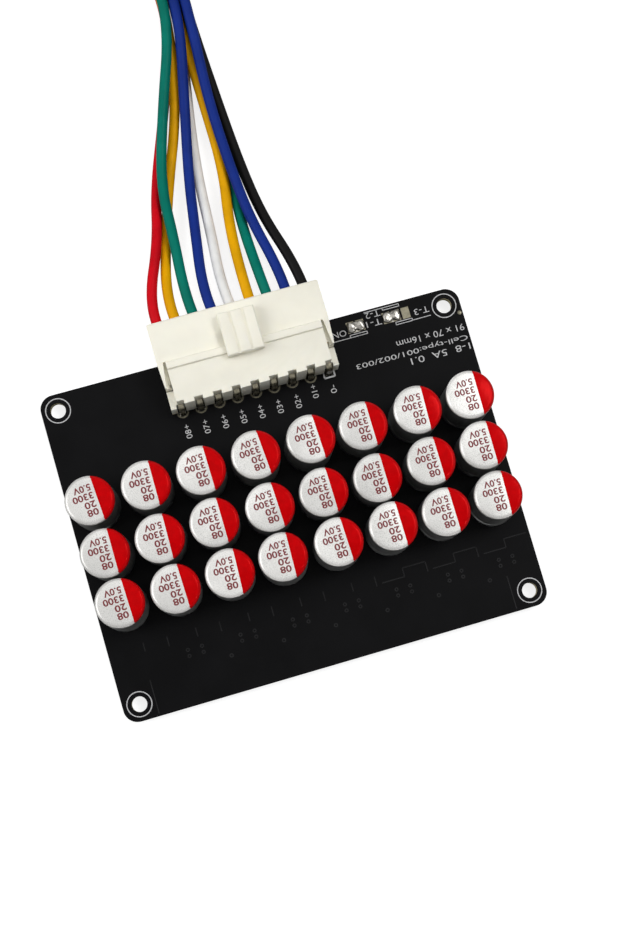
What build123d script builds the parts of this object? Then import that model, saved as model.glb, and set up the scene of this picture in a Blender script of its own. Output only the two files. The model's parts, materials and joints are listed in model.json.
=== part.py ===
from build123d import *
import os
from math import pi, radians, tan

os.makedirs("parts", exist_ok=True)

# Active balancer board for eight cells in series. The 24 energy storage capacitors and the
# balance connector stand on the upper side, the power switches and their driver are below.
# Row frame, millimetres: X along the long edge, Y towards the connector edge, Z up,
# with z = 0 at the tips of the solder tails, on which the board stands.

# Printed circuit board
BOARD_LENGTH = 91.0
BOARD_WIDTH = 70.0
BOARD_THICKNESS = 1.6
BOARD_CORNER_RADIUS = 3.0
MOUNT_HOLE_DIAMETER = 3.2
MOUNT_HOLE_INSET = 3.5
TAIL_LENGTH = 1.9

# Radial capacitors, each a sealed aluminium can with two leads
CAP_DIAMETER = 10.0
CAP_HEIGHT = 12.5
CAP_SHOULDER = 0.5
CAP_FOOT_TAPER = 0.25
CAP_GROOVE_HEIGHT = 2.1
CAP_GROOVE_WIDTH = 1.5
CAP_GROOVE_DEPTH = 0.55
CAP_COLUMNS = 8
CAP_ROWS = 3
CAP_PITCH_X = 11.3
CAP_PITCH_Y = 10.7
CAP_FIELD_Y = -0.96
LEAD_SPACING = 5.0
LEAD_DIAMETER = 0.6
LEAD_HOLE_CLEARANCE = 0.1
LEAD_SIDES = 6
SOLDER_FOOT_DIAMETER = 1.9
SOLDER_TIP_DIAMETER = 0.9
SOLDER_HEIGHT = 1.1

# Nine way connector: a side entry header on the board and a latching plug
PIN_COUNT = 9
PIN_PITCH = 3.96
PIN_SIZE = 1.14
PIN_BEND_RADIUS = 0.8
PIN_AXIS_HEIGHT = 4.4
PIN_ENGAGEMENT = 6.6
PIN_ROW_FROM_EDGE = 10.7
PIN_HOLE_CLEARANCE = 0.13
CONNECTOR_X = -1.5
CONNECTOR_END = 2.1
HEADER_BASE_DEPTH = 3.8
HEADER_END_HEIGHT = 5.2
HEADER_WALL_TOP = 8.8
HEADER_WALL_THICKNESS = 1.4
HEADER_WALL_INSET = 1.5
HEADER_WALL_REACH = 9.2
HEADER_WALL_ROOT_FILLET = 0.8
HEADER_EDGE = 0.3
RIB_HEIGHT = 0.6
RIB_DEPTH = 1.6
PIN_GROOVE_WIDTH = 1.8
PIN_GROOVE_DEPTH = 0.8

PLUG_LENGTH = 13.8
PLUG_SEAT_GAP = 0.2
PLUG_BOARD_GAP = 0.4
PLUG_TOP = 8.6
PLUG_SIDE_REACH = 0.25
PLUG_SLIDE_GAP = 0.15
PLUG_EDGE = 0.3
CHEEK_THICKNESS = 1.25
CHEEK_TIP_THICKNESS = 0.3
CHEEK_TIP_TAPER = 0.3
CAVITY_WIDTH = 3.0
CAVITY_HEIGHT = 4.2
CAVITY_FRONT_WALL = 1.0
PIN_ENTRY_SIZE = 1.7
LANCE_WINDOW_WIDTH = 1.5
LANCE_WINDOW_LENGTH = 2.4
LANCE_WINDOW_SETBACK = 5.4

LATCH_WIDTH = 7.7
LATCH_TOP = 11.2
LATCH_THICKNESS = 1.3
LATCH_REAR_SETBACK = 2.2
LATCH_ROOT_LENGTH = 2.6
LATCH_ROOT_FILLET = 0.6
LATCH_HOOK_DEPTH = 0.9
LATCH_HOOK_CLEARANCE = 0.15
LATCH_RIB_GAP = 0.15
LATCH_EDGE = 0.25
LATCH_GROOVE_OFFSET = 1.35
LATCH_GROOVE_WIDTH = 0.6
LATCH_GROOVE_DEPTH = 0.3

# Crimp contacts, one in each cavity of the plug
CONTACT_WIDTH = 2.4
CONTACT_HEIGHT = 3.0
CONTACT_BOX_LENGTH = 6.4
CONTACT_PIN_CLEARANCE = 0.06
CONTACT_NECK_WIDTH = 1.5
CONTACT_NECK_HEIGHT = 1.7
CONTACT_NECK_LENGTH = 1.4
CONTACT_BARREL_WIDTH = 2.7
CONTACT_BARREL_HEIGHT = 2.7
CONTACT_BARREL_LENGTH = 1.6
CONTACT_BARREL_CORNER = 0.6

# Wires, 200 mm from the plug to the stripped ends
WIRE_DIAMETER = 2.2
WIRE_LEAD_LENGTH = 0.5
BUNDLE_PITCH = 2.35
BUNDLE_CORNER = 0.9
BEND_SHARE = 0.45
STRAND_DIAMETER = 1.2
STRIPPED_LENGTH = 4.0
TIE_Y = 119.4
TIE_WIDTH = 2.6
TIE_THICKNESS = 0.95
TIE_HEAD_WIDTH = 4.4
TIE_HEAD_HEIGHT = 3.4
TIE_HEAD_LENGTH = 4.2
TIE_TAIL_LENGTH = 3.0
TIE_HEAD_EDGE = 0.3
TIE_FLOOR_GAP = 0.05

# Solder jumpers beside the connector
JUMPER_PAD_WIDTH = 1.7
JUMPER_PAD_LENGTH = 2.4
JUMPER_PAD_THICKNESS = 0.06
JUMPER_PAD_PITCH = 2.1
JUMPER_FROM_EDGE = 2.8
JUMPER_A_SHARE = 0.212
JUMPER_B_SHARE = 0.484
JUMPER_SOLDER_RADIUS = 1.12
JUMPER_SOLDER_HEIGHT = 0.6
JUMPER_BRIDGE_WIDTH = 1.3
JUMPER_BRIDGE_HEIGHT = 0.35

# Surface mounted parts on the lower side
SWITCH_LENGTH = 6.0
SWITCH_WIDTH = 5.0
SWITCH_HEIGHT = 1.0
SWITCH_EDGE = 0.2
DRIVER_LENGTH = 9.9
DRIVER_WIDTH = 3.9
DRIVER_HEIGHT = 1.45
DRIVER_STANDOFF = 0.1
DRIVER_EDGE = 0.35
DRIVER_X = -22.0
DRIVER_TO_RESISTORS = 5.8
DRIVER_PIN_COUNT = 8
DRIVER_PIN_PITCH = 1.27
DRIVER_PIN_WIDTH = 0.42
DRIVER_PIN_THICKNESS = 0.2
DRIVER_PIN_REACH = 1.05
DRIVER_PIN_ROOT_HEIGHT = 0.8
RESISTOR_LENGTH = 1.6
RESISTOR_WIDTH = 0.8
RESISTOR_HEIGHT = 0.45
RESISTOR_TO_CAP_ROW = 7.45
CERAMIC_LENGTH = 3.2
CERAMIC_WIDTH = 1.6
CERAMIC_HEIGHT = 1.2

# Heights and places that follow from the sizes above
BOARD_BOTTOM = TAIL_LENGTH
BOARD_TOP = BOARD_BOTTOM + BOARD_THICKNESS
PLUG_OVERHANG = HEADER_BASE_DEPTH + PLUG_SEAT_GAP + PLUG_LENGTH - PIN_ROW_FROM_EDGE
BOARD_Y = -PLUG_OVERHANG / 2
BOARD_EDGE_Y = BOARD_Y + BOARD_WIDTH / 2
PIN_ROW_Y = BOARD_EDGE_Y - PIN_ROW_FROM_EDGE
HEADER_BACK_Y = PIN_ROW_Y
HEADER_FRONT_Y = HEADER_BACK_Y + HEADER_BASE_DEPTH
WALL_FRONT_Y = HEADER_BACK_Y + HEADER_WALL_REACH
CONNECTOR_WIDTH = (PIN_COUNT - 1) * PIN_PITCH + 2 * CONNECTOR_END
WALL_LENGTH = CONNECTOR_WIDTH - 2 * HEADER_WALL_INSET
PLUG_FRONT_Y = HEADER_FRONT_Y + PLUG_SEAT_GAP
PLUG_REAR_Y = PLUG_FRONT_Y + PLUG_LENGTH
PIN_AXIS_Z = BOARD_TOP + PIN_AXIS_HEIGHT
CONTACT_FRONT_Y = PLUG_FRONT_Y + CAVITY_FRONT_WALL
BARREL_START_Y = CONTACT_FRONT_Y + CONTACT_BOX_LENGTH + CONTACT_NECK_LENGTH
WIRE_START_Y = BARREL_START_Y + CONTACT_BARREL_LENGTH
FIRST_CAP_ROW_Y = BOARD_Y + CAP_FIELD_Y + (CAP_ROWS - 1) / 2 * CAP_PITCH_Y
LAST_CAP_ROW_Y = FIRST_CAP_ROW_Y - (CAP_ROWS - 1) * CAP_PITCH_Y
CERAMIC_Y = (FIRST_CAP_ROW_Y + PIN_ROW_Y) / 2
RESISTOR_Y = LAST_CAP_ROW_Y - RESISTOR_TO_CAP_ROW
DRIVER_Y = RESISTOR_Y - DRIVER_TO_RESISTORS
CONNECTOR_RIGHT = CONNECTOR_X + CONNECTOR_WIDTH / 2
JUMPER_SPAN = BOARD_LENGTH / 2 - CONNECTOR_RIGHT
JUMPER_A_X = CONNECTOR_RIGHT + JUMPER_A_SHARE * JUMPER_SPAN
JUMPER_B_X = CONNECTOR_RIGHT + JUMPER_B_SHARE * JUMPER_SPAN
BUNDLE_WIDTH = 2 * BUNDLE_PITCH + WIRE_DIAMETER
BUNDLE_Z = TIE_FLOOR_GAP + TIE_THICKNESS + BUNDLE_WIDTH / 2

# Routes of the wires from the plug to the bundle, in the order of the pins. Each wire starts
# at its crimp barrel with a short straight lead and ends in the front face of the bundle.
WIRE_ROUTES = {
    "wire_1_red": [(-17.6, 44.5, 7.9), (-12.6, 56.5, 5.9), (-10.0, 69.0, 1.2), (-4.1, 84.0, 1.2)],
    "wire_2_yellow": [(-14.0, 44.5, 7.9), (-11.1, 56.5, 3.6), (-7.1, 69.0, 1.2), (-1.1, 84.0, 3.0)],
    "wire_3_green": [(-10.2, 44.5, 7.9), (-9.2, 56.5, 6.8), (-8.7, 69.0, 3.8), (-4.0, 84.0, 5.0)],
    "wire_4_blue": [(-6.3, 44.5, 7.9), (-4.5, 56.5, 5.8), (-2.6, 69.0, 2.8), (0.8, 84.0, 4.8)],
    "wire_5_white": [(-2.4, 44.5, 7.9), (-1.3, 56.5, 4.6), (-0.6, 69.0, 1.2), (1.4, 84.0, 1.3)],
    "wire_6_yellow": [(2.2, 44.5, 7.9), (2.8, 56.5, 4.6), (5.0, 69.0, 3.2), (4.9, 84.0, 3.1)],
    "wire_7_green": [(5.7, 44.5, 7.9), (5.4, 56.5, 4.3), (6.4, 69.0, 1.2), (6.4, 84.0, 1.3)],
    "wire_8_blue": [(9.8, 44.5, 7.9), (7.3, 56.5, 6.3), (6.4, 69.0, 5.2), (5.9, 84.0, 5.4)],
    "wire_9_black": [(13.3, 44.5, 7.9), (10.1, 56.5, 5.0), (8.8, 69.0, 2.3), (7.8, 84.0, 3.3)],
}
# Column and layer of each wire in the bundle, from the middle wire
BUNDLE_SEATS = {
    "wire_1_red": (-1, -1),
    "wire_2_yellow": (-1, 0),
    "wire_3_green": (-1, 1),
    "wire_4_blue": (0, 1),
    "wire_5_white": (0, -1),
    "wire_6_yellow": (0, 0),
    "wire_7_green": (1, -1),
    "wire_8_blue": (1, 1),
    "wire_9_black": (1, 0),
}
GATHER_Y = 101.0
# Middle line of the folded bundle, from its front face round the fold to the stripped ends
HANK_ROUTE = [
    (4.6, 114.5),
    (4.6, 127.0),
    (0.8, 144.0),
    (-2.6, 162.5),
    (8.25, 170.0),
    (19.1, 162.5),
    (15.7, 144.0),
    (11.9, 127.0),
    (11.9, 117.0),
]


def box(x_range, y_range, z_range):
    """A box from its lowest and highest value along each axis."""
    low = (x_range[0], y_range[0], z_range[0])
    size = (x_range[1] - x_range[0], y_range[1] - y_range[0], z_range[1] - z_range[0])
    return Pos(*low) * Box(*size, align=(Align.MIN, Align.MIN, Align.MIN))


def group(solids):
    """Several separate solids as one node."""
    return Compound(children=list(solids))


def capacitor_places():
    """Middle of each capacitor, row by row from the connector side."""
    places = []
    for row in range(CAP_ROWS):
        y = FIRST_CAP_ROW_Y - row * CAP_PITCH_Y
        for column in range(CAP_COLUMNS):
            x = (column - (CAP_COLUMNS - 1) / 2) * CAP_PITCH_X
            places.append((row + 1, column + 1, x, y))
    return places


def lead_places():
    """Both leads of every capacitor."""
    places = []
    for _, _, x, y in capacitor_places():
        places.append((x - LEAD_SPACING / 2, y))
        places.append((x + LEAD_SPACING / 2, y))
    return places


def pin_places():
    """X of each pin of the connector, from the far left."""
    first = CONNECTOR_X - (PIN_COUNT - 1) / 2 * PIN_PITCH
    return [first + number * PIN_PITCH for number in range(PIN_COUNT)]


def mount_hole_places():
    x = BOARD_LENGTH / 2 - MOUNT_HOLE_INSET
    y = BOARD_WIDTH / 2 - MOUNT_HOLE_INSET
    return [(sx * x, BOARD_Y + sy * y) for sx in (-1, 1) for sy in (-1, 1)]


def lead_outline(diameter):
    """A six sided outline that stands for a small round lead or hole."""
    return RegularPolygon(diameter / 2, LEAD_SIDES)


def cut_corner_rectangle(width, height, corner):
    """A rectangle with its four corners cut off at 45 degrees."""
    outline = Rectangle(width, height)
    return chamfer(outline.vertices(), corner)


def make_board():
    outline = RectangleRounded(BOARD_LENGTH, BOARD_WIDTH, BOARD_CORNER_RADIUS)
    sketch = Pos(0, BOARD_Y) * outline
    for x, y in mount_hole_places():
        sketch -= Pos(x, y) * Circle(MOUNT_HOLE_DIAMETER / 2)
    lead_hole = lead_outline(LEAD_DIAMETER + 2 * LEAD_HOLE_CLEARANCE)
    sketch -= [Pos(x, y) * lead_hole for x, y in lead_places()]
    pin_hole = Rectangle(PIN_SIZE + 2 * PIN_HOLE_CLEARANCE, PIN_SIZE + 2 * PIN_HOLE_CLEARANCE)
    sketch -= [Pos(x, PIN_ROW_Y) * pin_hole for x in pin_places()]
    return Pos(0, 0, BOARD_BOTTOM) * extrude(sketch, BOARD_THICKNESS)


def make_can():
    """One can on its base, turned from its half section: foot, crimp groove, wall, shoulder."""
    radius = CAP_DIAMETER / 2
    groove_low = CAP_GROOVE_HEIGHT - CAP_GROOVE_WIDTH / 2
    groove_high = CAP_GROOVE_HEIGHT + CAP_GROOVE_WIDTH / 2
    section = Polyline(
        (0, 0),
        (radius - CAP_FOOT_TAPER, 0),
        (radius, groove_low),
        (radius - CAP_GROOVE_DEPTH, CAP_GROOVE_HEIGHT),
        (radius, groove_high),
        (radius, CAP_HEIGHT - CAP_SHOULDER),
        (radius - CAP_SHOULDER, CAP_HEIGHT),
        (0, CAP_HEIGHT),
        close=True,
    )
    return revolve(Plane.XZ * make_face(section), Axis.Z)


def make_capacitors():
    can = make_can()
    nodes = {}
    for row, column, x, y in capacitor_places():
        nodes[f"capacitor_{row}_{column}"] = Pos(x, y, BOARD_TOP) * can
    return nodes


def make_capacitor_leads():
    lead = extrude(lead_outline(LEAD_DIAMETER), BOARD_TOP)
    return group(Pos(x, y) * lead for x, y in lead_places())


def make_capacitor_solder():
    """Solder cones under the board, one round each lead."""
    foot = lead_outline(SOLDER_FOOT_DIAMETER)
    tip = Pos(0, 0, -SOLDER_HEIGHT) * lead_outline(SOLDER_TIP_DIAMETER)
    cone = loft([foot, tip])
    cone -= Pos(0, 0, -SOLDER_HEIGHT) * extrude(lead_outline(LEAD_DIAMETER), SOLDER_HEIGHT)
    return group(Pos(x, y, BOARD_BOTTOM) * cone for x, y in lead_places())


def make_header():
    """Base block with pin grooves in its back, and the latch wall with its rib on top."""
    half = CONNECTOR_WIDTH / 2
    wall_half = WALL_LENGTH / 2
    base_y = (HEADER_BACK_Y, HEADER_FRONT_Y)
    wall_top = BOARD_TOP + HEADER_WALL_TOP
    wall_bottom = wall_top - HEADER_WALL_THICKNESS
    body = box((-half, half), base_y, (BOARD_TOP, BOARD_TOP + HEADER_END_HEIGHT))
    body += box((-wall_half, wall_half), base_y, (BOARD_TOP, wall_top))
    wall_y = (HEADER_BACK_Y, WALL_FRONT_Y)
    body += box((-wall_half, wall_half), wall_y, (wall_bottom, wall_top))
    corner = (0, HEADER_FRONT_Y, wall_bottom)
    root = body.edges().filter_by(Axis.X).sort_by_distance(corner)[0]
    body = fillet(root, HEADER_WALL_ROOT_FILLET)
    rib_y = (WALL_FRONT_Y - RIB_DEPTH, WALL_FRONT_Y)
    rib = box((-wall_half, wall_half), rib_y, (wall_top, wall_top + RIB_HEIGHT))
    rib = chamfer(rib.edges().filter_by(Axis.X).group_by(Axis.Z)[-1], HEADER_EDGE / 2)
    body += rib
    for x in pin_places():
        offset = x - CONNECTOR_X
        groove_x = (offset - PIN_GROOVE_WIDTH / 2, offset + PIN_GROOVE_WIDTH / 2)
        groove_y = (HEADER_BACK_Y, HEADER_BACK_Y + PIN_GROOVE_DEPTH)
        body -= box(groove_x, groove_y, (BOARD_TOP, wall_top))
        pin_x = (offset - PIN_SIZE / 2, offset + PIN_SIZE / 2)
        pin_z = (PIN_AXIS_Z - PIN_SIZE / 2, PIN_AXIS_Z + PIN_SIZE / 2)
        body -= box(pin_x, base_y, pin_z)
    return Pos(CONNECTOR_X, 0, 0) * body


def make_pin():
    """A square post: level through the header, one bend, then down through the board."""
    tip_y = HEADER_FRONT_Y + PIN_ENGAGEMENT
    route = FilletPolyline(
        (0, tip_y, PIN_AXIS_Z),
        (0, PIN_ROW_Y, PIN_AXIS_Z),
        (0, PIN_ROW_Y, 0),
        radius=PIN_BEND_RADIUS,
    )
    section = Plane((0, tip_y, PIN_AXIS_Z), x_dir=(1, 0, 0), z_dir=(0, -1, 0))
    return sweep(section * Rectangle(PIN_SIZE, PIN_SIZE), path=route)


def make_pins():
    pin = make_pin()
    return {f"header_pin_{n + 1}": Pos(x, 0, 0) * pin for n, x in enumerate(pin_places())}


def make_pin_solder():
    """Solder cones under the board, one round each pin of the header."""
    foot = lead_outline(SOLDER_FOOT_DIAMETER + PIN_SIZE)
    tip = Pos(0, 0, -SOLDER_HEIGHT) * lead_outline(SOLDER_TIP_DIAMETER + PIN_SIZE)
    cone = loft([foot, tip])
    cone -= Pos(0, 0, -SOLDER_HEIGHT / 2) * Box(PIN_SIZE, PIN_SIZE, SOLDER_HEIGHT)
    return group(Pos(x, PIN_ROW_Y, BOARD_BOTTOM) * cone for x in pin_places())


def make_latch():
    """Latch arm of the plug: a grooved arm on a root block, with a hook behind the rib."""
    half = LATCH_WIDTH / 2
    top = BOARD_TOP + LATCH_TOP
    bottom = top - LATCH_THICKNESS
    rear_y = PLUG_REAR_Y - LATCH_REAR_SETBACK
    rib_back_y = WALL_FRONT_Y - RIB_DEPTH
    hook_y = (rib_back_y - LATCH_RIB_GAP - LATCH_HOOK_DEPTH, rib_back_y - LATCH_RIB_GAP)
    arm_y = (hook_y[0], rear_y)
    arm = box((-half, half), arm_y, (bottom, top))
    arm = chamfer(arm.edges().group_by(Axis.Z)[-1], LATCH_EDGE)
    for side in (-1, 1):
        inner = side * (LATCH_GROOVE_OFFSET - LATCH_GROOVE_WIDTH / 2)
        outer = side * (LATCH_GROOVE_OFFSET + LATCH_GROOVE_WIDTH / 2)
        arm -= box(sorted((inner, outer)), arm_y, (top - LATCH_GROOVE_DEPTH, top))
    deck = BOARD_TOP + PLUG_TOP
    root = box((-half, half), (rear_y - LATCH_ROOT_LENGTH, rear_y), (deck, bottom))
    hook_low = BOARD_TOP + HEADER_WALL_TOP + LATCH_HOOK_CLEARANCE
    hook = box((-half, half), hook_y, (hook_low, bottom))
    lead_in = hook.edges().filter_by(Axis.X).group_by(Axis.Z)[0].sort_by(Axis.Y)[0]
    hook = chamfer(lead_in, LATCH_HOOK_DEPTH / 2)
    return arm + root + hook


def make_plug():
    """Housing with nine contact cavities, two cheeks beside the header wall and the latch."""
    half = CONNECTOR_WIDTH / 2 + PLUG_SIDE_REACH
    tip_half = half - CHEEK_TIP_TAPER
    bottom = BOARD_TOP + PLUG_BOARD_GAP
    deck = BOARD_TOP + PLUG_TOP
    under_wall = BOARD_TOP + HEADER_WALL_TOP - HEADER_WALL_THICKNESS - PLUG_SLIDE_GAP
    deck_y = WALL_FRONT_Y + PLUG_SLIDE_GAP
    outline = Polyline(
        (-half, PLUG_REAR_Y),
        (half, PLUG_REAR_Y),
        (half, deck_y),
        (tip_half, PLUG_FRONT_Y),
        (-tip_half, PLUG_FRONT_Y),
        (-half, deck_y),
        close=True,
    )
    body = Pos(0, 0, bottom) * extrude(make_face(outline), deck - bottom)
    body = chamfer(body.edges().group_by(Axis.Y)[-1], PLUG_EDGE)
    shelf_half = half - CHEEK_THICKNESS
    recess_tip = tip_half - CHEEK_TIP_THICKNESS
    recess = make_face(
        Polyline(
            (-shelf_half, deck_y),
            (shelf_half, deck_y),
            (recess_tip, PLUG_FRONT_Y),
            (-recess_tip, PLUG_FRONT_Y),
            close=True,
        )
    )
    body -= Pos(0, 0, under_wall) * extrude(recess, deck - under_wall)
    root_relief = HEADER_WALL_ROOT_FILLET
    relief_y = (PLUG_FRONT_Y, PLUG_FRONT_Y + root_relief)
    body -= box((-shelf_half, shelf_half), relief_y, (under_wall - root_relief, under_wall))
    window_end = PLUG_REAR_Y - LANCE_WINDOW_SETBACK
    for x in pin_places():
        offset = x - CONNECTOR_X
        cavity_x = (offset - CAVITY_WIDTH / 2, offset + CAVITY_WIDTH / 2)
        cavity_z = (PIN_AXIS_Z - CAVITY_HEIGHT / 2, PIN_AXIS_Z + CAVITY_HEIGHT / 2)
        body -= box(cavity_x, (PLUG_FRONT_Y + CAVITY_FRONT_WALL, PLUG_REAR_Y), cavity_z)
        entry_x = (offset - PIN_ENTRY_SIZE / 2, offset + PIN_ENTRY_SIZE / 2)
        entry_z = (PIN_AXIS_Z - PIN_ENTRY_SIZE / 2, PIN_AXIS_Z + PIN_ENTRY_SIZE / 2)
        body -= box(entry_x, (PLUG_FRONT_Y, PLUG_FRONT_Y + CAVITY_FRONT_WALL), entry_z)
        window_x = (offset - LANCE_WINDOW_WIDTH / 2, offset + LANCE_WINDOW_WIDTH / 2)
        body -= box(window_x, (window_end - LANCE_WINDOW_LENGTH, window_end), (bottom, cavity_z[0]))
    return Pos(CONNECTOR_X, 0, 0) * (body + make_latch())


def make_contact():
    """A crimp contact: box socket round the pin, neck, and barrel round the wire's end."""
    socket_start = Plane((0, CONTACT_FRONT_Y, PIN_AXIS_Z), x_dir=(1, 0, 0), z_dir=(0, 1, 0))
    bore = PIN_SIZE + 2 * CONTACT_PIN_CLEARANCE
    socket = Rectangle(CONTACT_WIDTH, CONTACT_HEIGHT) - Rectangle(bore, bore)
    body = extrude(socket_start * socket, CONTACT_BOX_LENGTH)
    neck_start = socket_start.offset(CONTACT_BOX_LENGTH)
    neck = Rectangle(CONTACT_NECK_WIDTH, CONTACT_NECK_HEIGHT)
    body += extrude(neck_start * neck, CONTACT_NECK_LENGTH)
    barrel = cut_corner_rectangle(CONTACT_BARREL_WIDTH, CONTACT_BARREL_HEIGHT, CONTACT_BARREL_CORNER)
    barrel_start = neck_start.offset(CONTACT_NECK_LENGTH)
    return body + extrude(barrel_start * barrel, CONTACT_BARREL_LENGTH)


def make_contacts():
    contact = make_contact()
    return group(Pos(x, 0, 0) * contact for x in pin_places())


def bend_radii(points):
    """Radius of each bend: as large as the two runs beside it allow."""
    radii = []
    for before, here, after in zip(points, points[1:], points[2:]):
        first = Vector(*here) - Vector(*before)
        second = Vector(*after) - Vector(*here)
        half_turn = radians(first.get_angle(second)) / 2
        radii.append(BEND_SHARE * min(first.length, second.length) / tan(half_turn))
    return radii


def smooth_route(name, points):
    radii = bend_radii(points)
    route = FilletPolyline(*points, radius=radii)
    print(name, "bend radii", [round(r, 1) for r in radii], "length", round(route.length, 1))
    return route


def bundle_seat(name):
    """Where a wire lies in the front face of the bundle."""
    column, layer = BUNDLE_SEATS[name]
    x, y = HANK_ROUTE[0]
    return x + column * BUNDLE_PITCH, y, BUNDLE_Z + layer * BUNDLE_PITCH


def make_wires():
    nodes = {}
    for pin_x, (name, middle) in zip(pin_places(), WIRE_ROUTES.items()):
        seat_x, seat_y, seat_z = bundle_seat(name)
        start = (pin_x, WIRE_START_Y, PIN_AXIS_Z)
        lead = (pin_x, WIRE_START_Y + WIRE_LEAD_LENGTH, PIN_AXIS_Z)
        points = [start, lead, *middle, (seat_x, GATHER_Y, seat_z), (seat_x, seat_y, seat_z)]
        route = smooth_route(name, points)
        section = Plane(route @ 0, z_dir=route % 0) * Circle(WIRE_DIAMETER / 2)
        tube = sweep(section, path=route)
        expected = pi * WIRE_DIAMETER**2 / 4 * route.length
        print(name, "volume over section times length", round(tube.volume / expected, 4))
        nodes[name] = tube
    return nodes


def make_hank():
    """Outer shape of the folded bundle of nine wires."""
    points = [(x, y, BUNDLE_Z) for x, y in HANK_ROUTE]
    route = smooth_route("wire_hank", points)
    section = cut_corner_rectangle(BUNDLE_WIDTH, BUNDLE_WIDTH, BUNDLE_CORNER)
    at = Plane(points[0], x_dir=(1, 0, 0), z_dir=(0, 1, 0))
    return sweep(at * section, path=route)


def make_stripped_ends():
    """Tinned strands at the far ends of the wires."""
    x, y = HANK_ROUTE[-1]
    end_face = Plane((0, 0, 0), z_dir=(0, -1, 0))
    strand = extrude(end_face * lead_outline(STRAND_DIAMETER), STRIPPED_LENGTH)
    seats = BUNDLE_SEATS.values()
    return group(
        Pos(x - column * BUNDLE_PITCH, y, BUNDLE_Z + layer * BUNDLE_PITCH) * strand
        for column, layer in seats
    )


def make_tie():
    """Cable tie round both legs of the folded bundle."""
    left = HANK_ROUTE[0][0] - BUNDLE_WIDTH / 2
    right = HANK_ROUTE[-1][0] + BUNDLE_WIDTH / 2
    middle = (left + right) / 2
    width = right - left
    inner = cut_corner_rectangle(width, BUNDLE_WIDTH, BUNDLE_CORNER)
    outer_corner = BUNDLE_CORNER + TIE_THICKNESS / 2
    outer = cut_corner_rectangle(
        width + 2 * TIE_THICKNESS, BUNDLE_WIDTH + 2 * TIE_THICKNESS, outer_corner
    )
    at = Plane((middle, TIE_Y - TIE_WIDTH / 2, BUNDLE_Z), x_dir=(1, 0, 0), z_dir=(0, 1, 0))
    band = extrude(at * (outer - inner), TIE_WIDTH)
    top = BUNDLE_Z + BUNDLE_WIDTH / 2 + TIE_THICKNESS
    head_x = (middle - TIE_HEAD_WIDTH / 2, middle + TIE_HEAD_WIDTH / 2)
    head_y = (TIE_Y - TIE_HEAD_LENGTH / 2, TIE_Y + TIE_HEAD_LENGTH / 2)
    head = box(head_x, head_y, (top, top + TIE_HEAD_HEIGHT))
    head = chamfer(head.edges().group_by(Axis.Z)[-1], TIE_HEAD_EDGE)
    tail_x = (head_x[1], head_x[1] + TIE_TAIL_LENGTH)
    tail_y = (TIE_Y - TIE_WIDTH / 2, TIE_Y + TIE_WIDTH / 2)
    tail = box(tail_x, tail_y, (top, top + TIE_THICKNESS))
    return band + head + tail


def jumper_pad_places():
    """Two pads of the closed jumper, then three of the one that picks the cell type."""
    closed = [JUMPER_A_X - JUMPER_PAD_PITCH / 2, JUMPER_A_X + JUMPER_PAD_PITCH / 2]
    first = JUMPER_B_X - JUMPER_PAD_PITCH / 2
    return closed + [first + number * JUMPER_PAD_PITCH for number in range(3)]


def make_jumper_pads():
    pad = extrude(Rectangle(JUMPER_PAD_WIDTH, JUMPER_PAD_LENGTH), JUMPER_PAD_THICKNESS)
    y = BOARD_EDGE_Y - JUMPER_FROM_EDGE
    return group(Pos(x, y, BOARD_TOP) * pad for x in jumper_pad_places())


def make_jumper_solder():
    """Two solder blobs, each a dome on either pad with a lower bridge between them."""
    sphere_radius = (JUMPER_SOLDER_RADIUS**2 + JUMPER_SOLDER_HEIGHT**2) / (2 * JUMPER_SOLDER_HEIGHT)
    dome = Pos(0, 0, JUMPER_SOLDER_HEIGHT - sphere_radius) * Sphere(sphere_radius)
    size = 2 * sphere_radius
    dome &= Pos(0, 0, size / 2) * Box(2 * size, 2 * size, size)
    bridge = Pos(0, 0, JUMPER_BRIDGE_HEIGHT / 2) * Box(
        JUMPER_PAD_PITCH, JUMPER_BRIDGE_WIDTH, JUMPER_BRIDGE_HEIGHT
    )
    half = JUMPER_PAD_PITCH / 2
    blob = Pos(-half, 0, 0) * dome + Pos(half, 0, 0) * dome + bridge
    y = BOARD_EDGE_Y - JUMPER_FROM_EDGE
    z = BOARD_TOP + JUMPER_PAD_THICKNESS
    return group(Pos(x, y, z) * blob for x in (JUMPER_A_X, JUMPER_B_X))


def make_switches():
    """Leadless power transistors under the board, between the rows of capacitor leads."""
    body = box(
        (-SWITCH_WIDTH / 2, SWITCH_WIDTH / 2),
        (-SWITCH_LENGTH / 2, SWITCH_LENGTH / 2),
        (-SWITCH_HEIGHT, 0),
    )
    body = chamfer(body.edges().group_by(Axis.Z)[0], SWITCH_EDGE)
    places = []
    for row in range(CAP_ROWS - 1):
        y = FIRST_CAP_ROW_Y - (row + 1 / 2) * CAP_PITCH_Y
        for column in range(CAP_COLUMNS):
            x = (column - (CAP_COLUMNS - 1) / 2) * CAP_PITCH_X
            places.append((x, y))
    return group(Pos(x, y, BOARD_BOTTOM) * body for x, y in places)


def make_driver():
    """The driver circuit under the board: a moulded body on two rows of gull wing pins."""
    top = -DRIVER_STANDOFF
    body = box(
        (-DRIVER_LENGTH / 2, DRIVER_LENGTH / 2),
        (-DRIVER_WIDTH / 2, DRIVER_WIDTH / 2),
        (-DRIVER_HEIGHT, top),
    )
    body = chamfer(body.edges().group_by(Axis.Z)[0], DRIVER_EDGE)
    return Pos(DRIVER_X, DRIVER_Y, BOARD_BOTTOM) * body


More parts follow.
